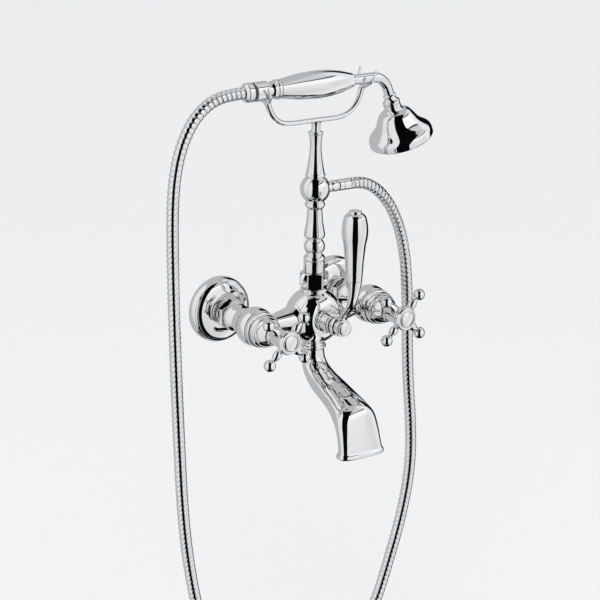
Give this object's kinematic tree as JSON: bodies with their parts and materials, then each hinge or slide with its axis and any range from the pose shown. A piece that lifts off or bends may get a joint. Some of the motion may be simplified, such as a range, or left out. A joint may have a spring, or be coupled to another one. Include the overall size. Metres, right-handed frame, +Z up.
{
  "type": "wall-mounted bath filler",
  "caption": "Wall-mounted bath filler with cross handles, a diverter lever, a curved spout and a hand shower on a cradle over a turned column, fed by a hanging metal hose.",
  "frame": {"origin": "on the wall face, midway between the axes of the two wall spigots", "axes": "+X along the wall towards the cold side, +Y into the wall, +Z up; the front of the filler faces -Y"},
  "size_m": [0.3277, 0.1902, 0.7125],
  "materials": {
    "chrome": "polished chrome plate on brass",
    "hose_metal": "polished ribbed metal hose",
    "index_face": "polished plain index disc",
    "spray_face": "polished spray plate",
    "brass": "machined brass",
    "ceramic": "lapped ceramic",
    "seal_rubber": "moulded seal rubber",
    "screw_steel": "stainless steel"
  },
  "bodies": {
    "root": {"cold_bonnet": "chrome", "cold_eccentric_union": "chrome", "cold_escutcheon": "chrome", "cold_inlet_tail": "chrome", "cold_union_nut": "chrome", "column_gasket": "seal_rubber", "column_nut": "chrome", "column_tee": "chrome", "cradle": "chrome", "cradle_screw": "screw_steel", "diverter_bonnet": "chrome", "diverter_headwork": "brass", "fixed_discs": "ceramic", "headworks": "brass", "hose_outlet": "chrome", "hose_washer_mixer": "seal_rubber", "hot_bonnet": "chrome", "hot_eccentric_union": "chrome", "hot_escutcheon": "chrome", "hot_inlet_tail": "chrome", "hot_union_nut": "chrome", "lower_column": "chrome", "mixer_body": "chrome", "outlet_ferrule": "chrome", "shower_hose": "hose_metal", "spout": "chrome", "spout_nipple": "brass", "union_clips": "screw_steel", "union_gaskets": "seal_rubber", "upper_column": "chrome"},
    "hot_handle": {"hot_moving_disc": "ceramic", "hot_spindle": "brass", "hot_handle_hub": "chrome", "hot_handle_arms": "chrome", "hot_handle_screw": "screw_steel", "hot_index_cap": "index_face"},
    "cold_handle": {"cold_moving_disc": "ceramic", "cold_spindle": "brass", "cold_handle_hub": "chrome", "cold_handle_arms": "chrome", "cold_handle_screw": "screw_steel", "cold_index_cap": "index_face"},
    "diverter_lever": {"diverter_rotor": "brass", "diverter_spindle": "brass", "lever_arm": "chrome", "lever_screw": "screw_steel", "lever_cap": "chrome", "lever_grip": "chrome"},
    "handset": {"handset_inlet": "chrome", "handset_grip": "chrome", "handset_neck": "chrome", "rose_bell": "chrome", "rose_gasket": "seal_rubber", "spray_plate": "spray_face", "hose_washer_handset": "seal_rubber", "hose_nut": "chrome"},
    "hose_end": {"hose_cone": "chrome"}
  },
  "joints": [
    {"name": "hot_turn", "type": "hinge", "parent": "root", "child": "hot_handle", "pos_m": [-0.075, -0.0754, 0.008], "axis": [0, -1, 0], "range_deg": [0, 90]},
    {"name": "cold_turn", "type": "hinge", "parent": "root", "child": "cold_handle", "pos_m": [0.075, -0.0754, 0.008], "axis": [0, 1, 0], "range_deg": [0, 90]},
    {"name": "diverter_turn", "type": "hinge", "parent": "root", "child": "diverter_lever", "pos_m": [0, -0.0754, 0.008], "axis": [0, -1, 0], "range_deg": [-45, 45]},
    {"name": "handset_lift", "type": "slide", "parent": "root", "child": "handset", "axis": [0, 0, 1], "range_m": [0, 0.04]},
    {"name": "hose_swivel", "type": "hinge", "parent": "handset", "child": "hose_end", "pos_m": [-0.085, -0.0754, 0.2594], "axis": [1, 0, 0], "continuous": true}
  ]
}
